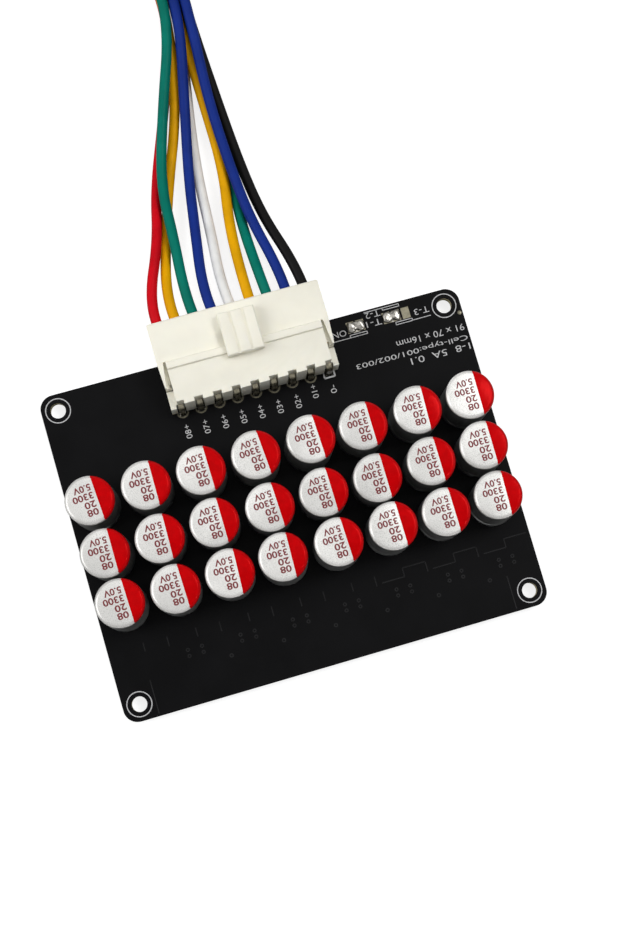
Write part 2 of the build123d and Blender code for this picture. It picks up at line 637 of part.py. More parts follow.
def make_driver_pins():
    root = DRIVER_WIDTH / 2
    knee = root + DRIVER_PIN_REACH / 2
    tip = root + DRIVER_PIN_REACH
    low = -DRIVER_PIN_ROOT_HEIGHT
    thick = DRIVER_PIN_THICKNESS
    section = make_face(
        Polyline(
            (root, low),
            (knee, low),
            (knee, -thick),
            (tip, -thick),
            (tip, 0),
            (knee - thick, 0),
            (knee - thick, low + thick),
            (root, low + thick),
            close=True,
        )
    )
    at = Plane((-DRIVER_PIN_WIDTH / 2, 0, 0), x_dir=(0, 1, 0), z_dir=(1, 0, 0))
    pin = extrude(at * section, DRIVER_PIN_WIDTH)
    pins = []
    for number in range(DRIVER_PIN_COUNT):
        x = DRIVER_X + (number - (DRIVER_PIN_COUNT - 1) / 2) * DRIVER_PIN_PITCH
        for turn in (0, 180):
            pins.append(Pos(x, DRIVER_Y, BOARD_BOTTOM) * Rot(0, 0, turn) * pin)
    return group(pins)


def chip_row(size, row_y):
    """A row of chip parts under the board, one for each column of capacitors."""
    length, width, height = size
    chip = box((-length / 2, length / 2), (-width / 2, width / 2), (-height, 0))
    chips = []
    for column in range(CAP_COLUMNS):
        x = (column - (CAP_COLUMNS - 1) / 2) * CAP_PITCH_X
        chips.append(Pos(x, row_y, BOARD_BOTTOM) * chip)
    return group(chips)


def make_nodes():
    nodes = {"board": make_board()}
    nodes.update(make_capacitors())
    nodes["capacitor_leads"] = make_capacitor_leads()
    nodes["capacitor_solder"] = make_capacitor_solder()
    nodes["header_body"] = make_header()
    nodes.update(make_pins())
    nodes["pin_solder"] = make_pin_solder()
    nodes["plug_housing"] = make_plug()
    nodes["crimp_contacts"] = make_contacts()
    nodes.update(make_wires())
    nodes["wire_hank"] = make_hank()
    nodes["stripped_ends"] = make_stripped_ends()
    nodes["cable_tie"] = make_tie()
    nodes["jumper_pads"] = make_jumper_pads()
    nodes["jumper_solder"] = make_jumper_solder()
    nodes["power_switches"] = make_switches()
    nodes["driver_body"] = make_driver()
    nodes["driver_pins"] = make_driver_pins()
    resistor_size = (RESISTOR_LENGTH, RESISTOR_WIDTH, RESISTOR_HEIGHT)
    nodes["chip_resistors"] = chip_row(resistor_size, RESISTOR_Y)
    ceramic_size = (CERAMIC_LENGTH, CERAMIC_WIDTH, CERAMIC_HEIGHT)
    nodes["chip_capacitors"] = chip_row(ceramic_size, CERAMIC_Y)
    return nodes


for name, shape in make_nodes().items():
    export_step(shape, f"parts/{name}.step")
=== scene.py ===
"""Active balancer board: its finish, print, wires and stage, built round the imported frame."""

import json
import math
import random

import bpy
from bpy.props import (
    FloatProperty,
    FloatVectorProperty,
    IntProperty,
    PointerProperty,
    StringProperty,
)
from bpy.types import Operator, Panel, PropertyGroup
from mathutils import Matrix, Vector


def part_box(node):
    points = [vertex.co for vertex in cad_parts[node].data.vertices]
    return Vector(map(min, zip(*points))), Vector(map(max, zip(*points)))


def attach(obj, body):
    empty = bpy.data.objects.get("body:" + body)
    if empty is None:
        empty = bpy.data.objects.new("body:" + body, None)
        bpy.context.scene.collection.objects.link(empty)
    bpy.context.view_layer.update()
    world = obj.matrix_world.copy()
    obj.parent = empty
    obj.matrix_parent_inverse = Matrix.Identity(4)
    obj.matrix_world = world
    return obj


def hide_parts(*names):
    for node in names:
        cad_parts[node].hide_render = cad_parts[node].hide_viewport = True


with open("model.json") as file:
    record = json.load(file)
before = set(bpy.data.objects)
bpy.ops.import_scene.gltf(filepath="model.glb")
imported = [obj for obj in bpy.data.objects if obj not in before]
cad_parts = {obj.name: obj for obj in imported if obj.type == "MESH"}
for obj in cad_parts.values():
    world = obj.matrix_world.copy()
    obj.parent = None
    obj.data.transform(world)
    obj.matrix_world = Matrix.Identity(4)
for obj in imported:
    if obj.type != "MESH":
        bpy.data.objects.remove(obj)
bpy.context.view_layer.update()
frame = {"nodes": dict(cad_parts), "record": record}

bl_info = {
    "name": "Active Balancer Board",
    "version": (1, 0, 0),
    "blender": (4, 5, 0),
    "location": "3D View > Sidebar > Balancer",
    "description": "Finishes an active balancer board round its packed frame",
    "category": "Object",
}

MM = 0.001
NODES = frame["nodes"]
BOARD_LOW, BOARD_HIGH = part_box("board")
BOARD_TOP = BOARD_HIGH[2]
BOARD_BOTTOM = BOARD_LOW[2]
TOLERANCE = 0.001 * MM
HALF_TURN = math.pi

CAP_ROWS = 3
CAP_COLUMNS = 8
PIN_COUNT = 9

# Places on the connector and its wires, in millimetres
PIN_PITCH = 3.96
PIN_ROW_Y = 20.75
PIN_AXIS_Z = 7.9
FIRST_WIRE_X = -17.34
WIRE_START_Y = 35.15
WIRE_LEAD_LENGTH = 0.5
GATHER_Y = 101.0
# Control points of the wires, in millimetres, from the crimp barrel to the tied bundle
WIRE_ROUTES = {
    "wire_1_red": [(-17.6, 44.5, 7.9), (-12.6, 56.5, 5.9), (-10.0, 69.0, 1.2), (-4.1, 84.0, 1.2)],
    "wire_2_yellow": [(-14.0, 44.5, 7.9), (-11.1, 56.5, 3.6), (-7.1, 69.0, 1.2), (-1.1, 84.0, 3.0)],
    "wire_3_green": [(-10.2, 44.5, 7.9), (-9.2, 56.5, 6.8), (-8.7, 69.0, 3.8), (-4.0, 84.0, 5.0)],
    "wire_4_blue": [(-6.3, 44.5, 7.9), (-4.5, 56.5, 5.8), (-2.6, 69.0, 2.8), (0.8, 84.0, 4.8)],
    "wire_5_white": [(-2.4, 44.5, 7.9), (-1.3, 56.5, 4.6), (-0.6, 69.0, 1.2), (1.4, 84.0, 1.3)],
    "wire_6_yellow": [(2.2, 44.5, 7.9), (2.8, 56.5, 4.6), (5.0, 69.0, 3.2), (4.9, 84.0, 3.1)],
    "wire_7_green": [(5.7, 44.5, 7.9), (5.4, 56.5, 4.3), (6.4, 69.0, 1.2), (6.4, 84.0, 1.3)],
    "wire_8_blue": [(9.8, 44.5, 7.9), (7.3, 56.5, 6.3), (6.4, 69.0, 5.2), (5.9, 84.0, 5.4)],
    "wire_9_black": [(13.3, 44.5, 7.9), (10.1, 56.5, 5.0), (8.8, 69.0, 2.3), (7.8, 84.0, 3.3)],
}
# Column and layer of each wire in the bundle
BUNDLE_SEATS = {
    "wire_1_red": (-1, -1),
    "wire_2_yellow": (-1, 0),
    "wire_3_green": (-1, 1),
    "wire_4_blue": (0, 1),
    "wire_5_white": (0, -1),
    "wire_6_yellow": (0, 0),
    "wire_7_green": (1, -1),
    "wire_8_blue": (1, 1),
    "wire_9_black": (1, 0),
}
# Middle line of the folded bundle, seen from above, in millimetres
HANK_ROUTE = [
    (4.6, 114.5),
    (4.6, 127.0),
    (0.8, 144.0),
    (-2.6, 162.5),
    (8.25, 170.0),
    (19.1, 162.5),
    (15.7, 144.0),
    (11.9, 127.0),
    (11.9, 117.0),
]
# How each can stands, two lines to a row of cans, as measured in the photograph: the offset
# of its top in millimetres and its turn in degrees
CAN_STANCES = (
    ((-0.27, 0.18, 3.8), (-0.04, 0.11, -0.4), (-0.02, 0.01, 0.7), (0.09, 0.05, 3.9)),
    ((0.34, 0.18, 2.0), (-0.03, -0.12, 0.3), (0.25, 0.05, -2.0), (0.17, 0.12, -0.7)),
    ((-0.15, -0.11, -0.2), (-0.27, -0.24, -1.2), (-0.3, -0.13, 0.2), (-0.09, -0.2, 2.1)),
    ((-0.18, -0.24, 0.8), (-0.22, -0.41, 0.4), (-0.09, -0.08, 0.3), (-0.13, 0.16, -0.5)),
    ((0.06, 0.23, 1.8), (0.04, -0.07, 1.5), (-0.07, -0.05, -2.4), (-0.34, 0.17, -1.6)),
    ((-0.05, 0.0, 1.7), (0.1, 0.06, 0.5), (-0.11, -0.15, 0.6), (-0.24, 0.28, -2.1)),
)
# Name, place and width in metres, and power in watts of each lamp
LAMPS = (
    ("main_light", (0.5, 0.08, 0.86), 0.35, 3.5),
    ("top_light", (0.0, 0.4, 0.85), 0.8, 2.1),
    ("left_light", (-0.7, 0.14, 0.55), 0.6, 4.4),
    ("glint_light", (0.44, -0.3, 0.84), 0.08, 0.6),
)


def srgb(red, green, blue):
    """Linear colour from the usual 0 to 255 values."""
    values = []
    for part in (red, green, blue):
        share = part / 255
        values.append(share / 12.92 if share <= 0.04045 else ((share + 0.055) / 1.055) ** 2.4)
    return tuple(values)


def size(name, description, millimetres):
    return FloatProperty(
        name=name,
        description=description,
        default=millimetres * MM,
        unit="LENGTH",
        subtype="DISTANCE",
    )


def vector(name, description, subtype, value, **limits):
    return FloatVectorProperty(
        name=name, description=description, subtype=subtype, size=3, default=value, **limits
    )


def colour(name, description, value):
    return vector(name, description, "COLOR", value, min=0.0, max=1.0)


class BALANCER_PG_capacitors(PropertyGroup):
    radius: size("Radius", "Outer radius of a can", 5.0)
    height: size("Height", "Height of a can above the board", 12.5)
    shoulder: size("Shoulder", "Radius of the rounding round the top", 0.8)
    rim_line: size("Rim line", "Depth of the fine line pressed into the shoulder", 0.09)
    foot: size("Foot", "Radius of the rolled edge at the base", 0.3)
    groove_height: size("Groove height", "Height of the crimp groove's middle", 2.1)
    groove_width: size("Groove width", "Width of the crimp groove", 1.5)
    groove_depth: size("Groove depth", "Depth of the crimp groove", 0.55)
    field_edge: size("Red field edge", "Distance of the red field's straight edge from the axis", 1.66)
    ink_height: size("Ink height", "Thickness of the printed figures", 0.012)
    sides: IntProperty(name="Sides", description="Faces round a can", default=72, min=24, max=128)
    value_text: StringProperty(name="Value", description="Printed capacity figure", default="3300")
    volt_text: StringProperty(name="Voltage", description="Printed voltage figure", default="5.0V")
    silver: colour("Silver", "Printed top of the can", srgb(202, 201, 198))
    red: colour("Red", "Glossy field on the top", srgb(194, 1, 6))
    ink: colour("Ink", "Printed figures", srgb(98, 0, 12))
    metal: colour("Metal", "Drawn aluminium of the can's side", srgb(158, 159, 158))


class BALANCER_PG_board(PropertyGroup):
    ring_radius: size("Ring radius", "Radius of the printed ring round a mounting hole", 2.55)
    ring_width: size("Ring width", "Width of that ring", 0.2)
    print_height: size("Print height", "Thickness of the white print", 0.02)
    line_width: size("Line width", "Width of a printed line", 0.16)
    letter_height: size("Letter height", "Height of the printed figures", 1.25)
    trace_height: size("Trace height", "How far a covered trace stands up", 0.03)
    trace_width: size("Trace width", "Width of a covered trace", 0.22)
    mask: colour("Solder mask", "Black solder mask", srgb(13, 13, 14))
    relief: colour("Covered copper", "Solder mask over a trace or via", srgb(30, 30, 31))
    laminate: colour("Laminate", "Cut edge of the board", srgb(178, 170, 140))
    white: colour("White print", "Printed lines and figures", srgb(196, 196, 197))


class BALANCER_PG_connector(PropertyGroup):
    edge: size("Edge rounding", "Rounding of the moulded edges", 0.1)
    pad_radius: size("Pad radius", "Outer radius of the pad under a pin", 1.3)
    pad_width: size("Pad width", "Bare width of that pad", 0.34)
    nylon: colour("Nylon", "Ivory white moulding", srgb(246, 243, 229))
    tin: colour("Tin", "Tin plating of pins and leads", srgb(174, 168, 146))
    solder: colour("Solder", "Bright solder", srgb(212, 208, 200))


class BALANCER_PG_wires(PropertyGroup):
    diameter: size("Diameter", "Diameter of a wire over its insulation", 2.2)
    pitch: size("Bundle pitch", "Distance between wires in the bundle", 2.35)
    length: size("Length", "Length of a wire from the plug to its end", 200.0)
    strand: size("Strand", "Diameter of the tinned strands at the far end", 1.2)
    bare: size("Bare length", "Length of the tinned strands", 4.0)
    red: colour("Red", "Insulation of the first wire", srgb(205, 10, 26))
    yellow: colour("Yellow", "Insulation of the second and sixth wires", srgb(232, 168, 4))
    green: colour("Green", "Insulation of the third and seventh wires", srgb(2, 116, 100))
    blue: colour("Blue", "Insulation of the fourth and eighth wires", srgb(22, 47, 130))
    white: colour("White", "Insulation of the middle wire", srgb(236, 236, 234))
    black: colour("Black", "Insulation of the last wire", srgb(17, 16, 16))


class BALANCER_PG_stage(PropertyGroup):
    floor_size: size("Floor size", "Side of the square floor", 4000.0)
    lens: FloatProperty(name="Lens", description="Focal length in millimetres", default=60.32)
    shift_x: FloatProperty(name="Shift x", description="Shift across", default=-0.0665)
    shift_y: FloatProperty(name="Shift y", description="Shift upwards", default=0.0573)
    eye: vector(
        "Eye",
        "Place of the camera",
        "TRANSLATION",
        (-16.45 * MM, -39.22 * MM, 326.48 * MM),
        unit="LENGTH",
    )
    view_direction: vector(
        "View direction", "Where the camera looks", "DIRECTION", (0.0951, 0.0848, -0.9918)
    )
    view_up: vector("View up", "Upwards in the picture", "DIRECTION", (0.2726, 0.9561, 0.1079))
    floor: colour("Floor", "Pale floor", (0.4, 0.4, 0.4))
    floor_glow: FloatProperty(name="Floor glow", description="Glow of the floor in view", default=0.8)
    ambient: FloatProperty(name="Ambient", description="Strength of the soft light", default=0.12)


class BALANCER_PG_settings(PropertyGroup):
    capacitors: PointerProperty(type=BALANCER_PG_capacitors)
    board: PointerProperty(type=BALANCER_PG_board)
    connector: PointerProperty(type=BALANCER_PG_connector)
    wires: PointerProperty(type=BALANCER_PG_wires)
    stage: PointerProperty(type=BALANCER_PG_stage)


def tone(value, factor):
    """A colour made darker or lighter by a factor."""
    return tuple(min(part * factor, 1.0) for part in value)


def set_sockets(node, values):
    """Sets inputs of a shader node, given by their names with underscores."""
    for socket, value in values.items():
        node.inputs[socket.replace("_", " ")].default_value = value


def add_node(tree, kind, **values):
    """A new shader node with some of its inputs set."""
    node = tree.nodes.new(kind)
    set_sockets(node, values)
    return node


def link(source, output, target, socket):
    """Joins an output of one shader node to an input of another."""
    source.id_data.links.new(source.outputs[output], target.inputs[socket])


def calculate(operation, source, output, second=None):
    """A maths node fed by another node's output, and by a number where one is given."""
    node = add_node(source.id_data, "ShaderNodeMath")
    node.operation = operation
    link(source, output, node, 0)
    if second is not None:
        node.inputs[1].default_value = second
    return node


def surface(material):
    return material.node_tree.nodes["Principled BSDF"]


def shader(name, base, roughness, **values):
    """A new material with some inputs of its surface set."""
    material = bpy.data.materials.new(name)
    material.use_nodes = True
    set_sockets(surface(material), {"Base_Color": (*base, 1.0), "Roughness": roughness, **values})
    return material


def add_noise(material, grain, stretch=(1, 1, 1), detail=3.0):
    """A noise texture on object coordinates whose grain is a length in metres."""
    tree = material.node_tree
    place = add_node(tree, "ShaderNodeTexCoord")
    mapping = add_node(tree, "ShaderNodeMapping", Scale=stretch)
    noise = add_node(tree, "ShaderNodeTexNoise", Scale=1 / grain, Detail=detail)
    link(place, "Object", mapping, "Vector")
    link(mapping, "Vector", noise, "Vector")
    return noise


def add_ramp(material, noise, base, low, high, start=0.0, end=1.0):
    """A colour ramp that runs from one tone of a colour to another with the noise."""
    ramp = add_node(material.node_tree, "ShaderNodeValToRGB")
    for stop, position, factor in zip(ramp.color_ramp.elements, (start, end), (low, high)):
        stop.position = position
        stop.color = (*tone(base, factor), 1.0)
    link(noise, "Fac", ramp, "Fac")
    return ramp


def vary_colour(material, noise, base, low, high, start=0.35, end=0.65):
    """The base colour is darkened and lightened by factors with the noise."""
    ramp = add_ramp(material, noise, base, low, high, start, end)
    link(ramp, "Color", surface(material), "Base Color")
    return ramp


def vary_roughness(material, noise, low, high):
    """The roughness runs from one value to another with the noise."""
    ranges = {"From_Min": 0.3, "From_Max": 0.7, "To_Min": low, "To_Max": high}
    spread = add_node(material.node_tree, "ShaderNodeMapRange", **ranges)
    link(noise, "Fac", spread, "Value")
    link(spread, "Result", surface(material), "Roughness")


def add_bump(material, noise, depth):
    """The noise roughens the surface by a depth in metres."""
    bump = add_node(material.node_tree, "ShaderNodeBump", Strength=1.0, Distance=depth)
    link(noise, "Fac", bump, "Height")
    link(bump, "Normal", surface(material), "Normal")


def solder_mask(board):
    """Black mask on both faces, with a fine orange peel, and the cut laminate at the edges."""
    material = shader("black_solder_mask", board.mask, 0.42, Specular_IOR_Level=0.03)
    tree = material.node_tree
    cloud = add_noise(material, 9 * MM)
    mask = vary_colour(material, cloud, board.mask, 0.85, 1.2)
    vary_roughness(material, cloud, 0.38, 0.48)
    peel = add_noise(material, 0.5 * MM)
    add_bump(material, peel, 0.004 * MM)
    weave = add_noise(material, 0.25 * MM, (1, 1, 6))
    laminate = add_ramp(material, weave, board.laminate, 0.7, 1.0)
    face = add_node(tree, "ShaderNodeNewGeometry")
    parts = add_node(tree, "ShaderNodeSeparateXYZ")
    link(face, "Normal", parts, "Vector")
    upright = calculate("ABSOLUTE", parts, "Z")
    flat = calculate("GREATER_THAN", upright, "Value", 0.5)
    mix = add_node(tree, "ShaderNodeMix")
    mix.data_type = "RGBA"
    link(flat, "Value", mix, "Factor")
    link(laminate, "Color", mix, "A")
    link(mask, "Color", mix, "B")
    link(mix, "Result", surface(material), "Base Color")
    return material


def covered_copper(board):
    material = shader("mask_over_copper", board.relief, 0.45, Specular_IOR_Level=0.08)
    cloud = add_noise(material, 3 * MM)
    vary_colour(material, cloud, board.relief, 0.6, 1.0)
    return material


def white_print(board):
    material = shader("white_print", board.white, 0.6, Specular_IOR_Level=0.1)
    speckle = add_noise(material, 0.18 * MM, detail=4.0)
    vary_colour(material, speckle, board.white, 0.62, 1.0, 0.3, 0.52)
    add_bump(material, speckle, 0.01 * MM)
    return material


def drawn_aluminium(cans):
    """The can's side: fine draw marks that run up the wall."""
    material = shader("drawn_aluminium", cans.metal, 0.34, Metallic=1.0)
    marks = add_noise(material, 0.35 * MM, (1, 1, 0.03))
    vary_colour(material, marks, cans.metal, 0.94, 1.0)
    vary_roughness(material, marks, 0.3, 0.4)
    return material


def silver_lacquer(cans):
    """The printed top: a matt silver with a fine pressed grain."""
    material = shader("silver_lacquer", cans.silver, 0.3, Metallic=0.35)
    blotch = add_noise(material, 11 * MM, detail=5.0)
    vary_colour(material, blotch, cans.silver, 0.86, 1.12)
    grain = add_noise(material, 0.14 * MM, detail=2.0)
    vary_roughness(material, grain, 0.24, 0.36)
    add_bump(material, grain, 0.01 * MM)
    return material


def red_lacquer(cans):
    """Red under a clear lacquer whose gloss takes the red's tint."""
    tint = (1.0, 0.04, 0.04, 1.0)
    material = shader("red_lacquer", cans.red, 0.09, Specular_IOR_Level=0.4, Specular_Tint=tint)
    blotch = add_noise(material, 1.2 * MM)
    vary_colour(material, blotch, cans.red, 0.86, 1.0)
    ripple = add_noise(material, 0.4 * MM)
    add_bump(material, ripple, 0.008 * MM)
    return material


def printing_ink(cans):
    material = shader("dark_red_ink", cans.ink, 0.5)
    wear = add_noise(material, 0.1 * MM)
    vary_colour(material, wear, cans.ink, 1.0, 1.2, 0.45, 0.75)
    return material


def moulded_nylon(name, base):
    """Ivory nylon: a little light passes into it, and its skin has a fine spark texture."""
    material = shader(
        name,
        base,
        0.46,
        Specular_IOR_Level=0.12,
        Subsurface_Weight=0.12,
        Subsurface_Radius=(0.9, 0.8, 0.6),
        Subsurface_Scale=0.8 * MM,
    )
    cloud = add_noise(material, 5 * MM)
    vary_colour(material, cloud, base, 0.965, 1.0)
    skin = add_noise(material, 0.22 * MM)
    vary_roughness(material, skin, 0.4, 0.54)
    add_bump(material, skin, 0.006 * MM)
    return material


def tinned_metal(name, base, low, high, depth=0.01 * MM):
    material = shader(name, base, (low + high) / 2, Metallic=1.0)
    cloud = add_noise(material, 0.7 * MM)
    vary_colour(material, cloud, base, 0.62, 1.0)
    vary_roughness(material, cloud, low, high)
    ripple = add_noise(material, 0.35 * MM)
    add_bump(material, ripple, depth)
    return material


def wire_insulation(name, base):
    """Soft insulation with the faint length-wise flow of an extruded skin."""
    material = shader(name, base, 0.4, Specular_IOR_Level=0.06)
    cloud = add_noise(material, 6 * MM)
    vary_colour(material, cloud, base, 0.86, 1.06)
    skin = add_noise(material, 0.3 * MM)
    vary_roughness(material, skin, 0.36, 0.5)
    add_bump(material, skin, 0.008 * MM)
    return material


def moulding_compound(name, base, roughness):
    material = shader(name, base, roughness, Specular_IOR_Level=0.15)
    grain = add_noise(material, 0.12 * MM)
    vary_colour(material, grain, base, 0.75, 1.3)
    add_bump(material, grain, 0.01 * MM)
    return material


def deselect():
    bpy.ops.object.select_all(action="DESELECT")


def select_only(*pieces):
    deselect()
    for piece in pieces:
        piece.select_set(True)
    bpy.context.view_layer.objects.active = pieces[0]


def put(piece, x, y, z, turn=0.0):
    """Sets a piece in its place by its mesh; the object itself stays at the origin."""
    piece.data.transform(Matrix.Translation((x, y, z)) @ Matrix.Rotation(turn, 4, "Z"))
    return piece


def settle(piece):
    """Takes the object's own place, turn and scale into its mesh."""
    select_only(piece)
    bpy.ops.object.transform_apply(location=True, rotation=True, scale=True)
    return piece


def copy_of(piece, name):
    twin = bpy.data.objects.new(name, piece.data.copy())
    bpy.context.scene.collection.objects.link(twin)
    return twin


def join(pieces):
    select_only(*pieces)
    bpy.ops.object.join()
    return bpy.context.view_layer.objects.active


def smooth(piece, degrees=35):
    select_only(piece)
    bpy.ops.object.shade_smooth_by_angle(angle=math.radians(degrees))


def finish(piece, name, slot, *materials, stands_for=()):
    """Names a finished piece, gives it its materials and lets it ride on the board."""
    piece.name = name
    piece.data.name = name
    if materials:
        piece.data.materials.clear()
        for material in materials:
            piece.data.materials.append(material)
    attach(piece, "root")
    if stands_for:
        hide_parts(*stands_for)
    return piece


def coat_node(node, material):
    """Gives a CAD node that keeps its shape a better material."""
    NODES[node].data.materials.clear()
    NODES[node].data.materials.append(material)


def box_piece(low, high):
    """A box between two corners, with its place in its mesh."""
    low = Vector(low)
    high = Vector(high)
    deselect()
    bpy.ops.mesh.primitive_cube_add(size=1, location=(low + high) / 2, scale=high - low)
    return settle(bpy.context.object)


def turned(profile, sides):
    """A solid turned from its profile: a disc is extruded and scaled from ring to ring."""
    radius, height = profile[0]
    deselect()
    bpy.ops.mesh.primitive_circle_add(
        vertices=sides, radius=radius, fill_type="NGON", location=(0, 0, height)
    )
    bpy.ops.object.mode_set(mode="EDIT")
    for next_radius, next_height in profile[1:]:
        rise = (0, 0, next_height - height)
        bpy.ops.mesh.extrude_region_move(TRANSFORM_OT_translate={"value": rise})
        share = next_radius / radius
        bpy.ops.transform.resize(value=(share, share, 1), center_override=(0, 0, next_height))
        radius, height = next_radius, next_height
    bpy.ops.mesh.select_all(action="SELECT")
    bpy.ops.mesh.normals_make_consistent(inside=False)
    bpy.ops.object.mode_set(mode="OBJECT")
    return settle(bpy.context.object)


def flat_ring(outer, width, thickness, sides=64):
    """A flat ring: a disc is inset, opened in its middle and given its thickness."""
    deselect()
    bpy.ops.mesh.primitive_circle_add(vertices=sides, radius=outer, fill_type="NGON")
    bpy.ops.object.mode_set(mode="EDIT")
    bpy.ops.mesh.inset(thickness=width)
    bpy.ops.mesh.delete(type="FACE")
    bpy.ops.mesh.select_all(action="SELECT")
    bpy.ops.mesh.extrude_region_move(TRANSFORM_OT_translate={"value": (0, 0, thickness)})
    bpy.ops.mesh.select_all(action="SELECT")
    bpy.ops.mesh.normals_make_consistent(inside=False)
    bpy.ops.object.mode_set(mode="OBJECT")
    return bpy.context.object


def lettering(text, width, height, thickness, weight=-0.004):
    """Raised lettering that fills a given width and height, centred on the origin."""
    deselect()
    bpy.ops.object.text_add()
    label = bpy.context.object
    label.data.body = text
    label.data.resolution_u = 3
    label.data.offset = weight
    label.data.extrude = 0.5
    bpy.ops.object.convert(target="MESH")
    label = bpy.context.object
    corners = [Vector(corner) for corner in label.bound_box]
    low = Vector([min(c[axis] for c in corners) for axis in range(3)])
    high = Vector([max(c[axis] for c in corners) for axis in range(3)])
    span = high - low
    fit = Matrix.Diagonal((width / span.x, height / span.y, thickness / span.z, 1))
    label.data.transform(fit @ Matrix.Translation(-(low + high) / 2))
    return label


def eased_copy(node, width, segments=2):
    """A copy of a CAD node whose corners are merged and whose sharp edges are rounded."""
    piece = copy_of(NODES[node], node)
    select_only(piece)
    bpy.ops.mesh.customdata_custom_splitnormals_clear()
    bpy.ops.object.mode_set(mode="EDIT")
    bpy.ops.mesh.select_all(action="SELECT")
    bpy.ops.mesh.remove_doubles(threshold=TOLERANCE)
    bpy.ops.mesh.dissolve_limited(angle_limit=math.radians(1))
    bpy.ops.object.mode_set(mode="OBJECT")
    bevel = piece.modifiers.new("Edge rounding", "BEVEL")
    bevel.width = width
    bevel.segments = segments
    bevel.limit_method = "ANGLE"
    bevel.angle_limit = math.radians(30)
    bpy.ops.object.modifier_apply(modifier=bevel.name)
    smooth(piece, 40)
    return piece


def ease(node, width, name, slot, material):
    """Finishes a copy of a CAD node with rounded edges, which stands for the node."""
    return finish(eased_copy(node, width), name, slot, material, stands_for=[node])


def hole_places():
    """The four mounting holes, from the record's mount."""
    mount = frame["record"]["mounts"][0]
    middle_x, middle_y, _ = mount["pos_m"]
    half_x = mount["dims"]["spacing_x_mm"] * MM / 2
    half_y = mount["dims"]["spacing_y_mm"] * MM / 2
    return [(middle_x + sx * half_x, middle_y + sy * half_y) for sx in (-1, 1) for sy in (-1, 1)]


def pin_places():
    """X of each pin of the header."""
    places = []
    for number in range(PIN_COUNT):
        low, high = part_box(f"header_pin_{number + 1}")
        places.append((low[0] + high[0]) / 2)
    return places


def bars(corners, width, height):
    """Straight bars on the board's upper face from corner to corner."""
    pieces = []
    for (x1, y1), (x2, y2) in zip(corners, corners[1:]):
        run = Vector((x2 - x1, y2 - y1, 0))
        piece = box_piece((0, -width / 2, 0), (run.length, width / 2, height))
        pieces.append(put(piece, x1, y1, BOARD_TOP, math.atan2(run.y, run.x)))
    return pieces


class BALANCER_OT_dress_board(Operator):
    """Coats the board and adds covered traces, vias and test pad"""

    bl_idname = "balancer.dress_board"
    bl_label = "Dress board"

    def execute(self, context):
        board = context.scene.balancer.board
        coat_node("board", solder_mask(board))
        relief = self.vias(board) + self.traces(board)
        finish(join(relief), "covered_traces", "board", covered_copper(board))
        self.test_pad(context.scene.balancer.connector)
        return {"FINISHED"}

    def vias(self, board):
        """Groups of four below the cans, and a row of single ones nearer the edge."""
        group_pitch = 11.2
        single_pitch = 11.17
        places = [
            (x + group_pitch * column, y, 0.42)
            for column in range(-4, 3)
            for x in (15.2, 18.2)
            for y in (-27.15, -28.45)
        ]
        places += [(single_pitch * column - 21.3, -30.75, 0.45) for column in range(6)]
        rings = []
        for x, y, radius in places:
            ring = flat_ring(radius * MM, radius / 2 * MM, board.trace_height, sides=16)
            rings.append(put(ring, x * MM, y * MM, BOARD_TOP))
        return rings

    def traces(self, board):
        """Traces below the cans, stepped on the right half, and one near each lower corner."""
        pitch = 11.12
        low = -25.05
        high = -23.2
        reach = 4.9
        courses = []
        for column in range(-5, 3):
            rise = 17.6 + pitch * column
            course = [(rise, low), (rise, high)]
            if column >= 0:
                course = [(rise - reach, low), *course, (rise + reach, high)]
            courses.append(course)
            if column < 2:
                courses.append([(rise + 5.0, -25.4), (rise + 5.0, -23.3)])
        for x in (-38.65, 38.25):
            courses.append([(x, -30.9), (x, -38.0)])
        pieces = []
        for course in courses:
            corners = [(x * MM, y * MM) for x, y in course]
            pieces += bars(corners, board.trace_width, board.trace_height)
        return pieces

    def test_pad(self, connector):
        """A small round pad near the board's upper corner."""
        profile = [(0.45 * MM, 0), (0.45 * MM, 0.02 * MM), (0.3 * MM, 0.08 * MM)]
        dot = put(turned(profile, sides=24), 44.8 * MM, 25.66 * MM, BOARD_TOP)
        smooth(dot)
        # The tin is darkened to three tenths of its colour: painted shade, a painted dark reflection
        # of the surroundings
        tin = tinned_metal("test_pad_tin", tone(connector.tin, 0.3), 0.3, 0.45)
        finish(dot, "test_pad", "solder", tin)


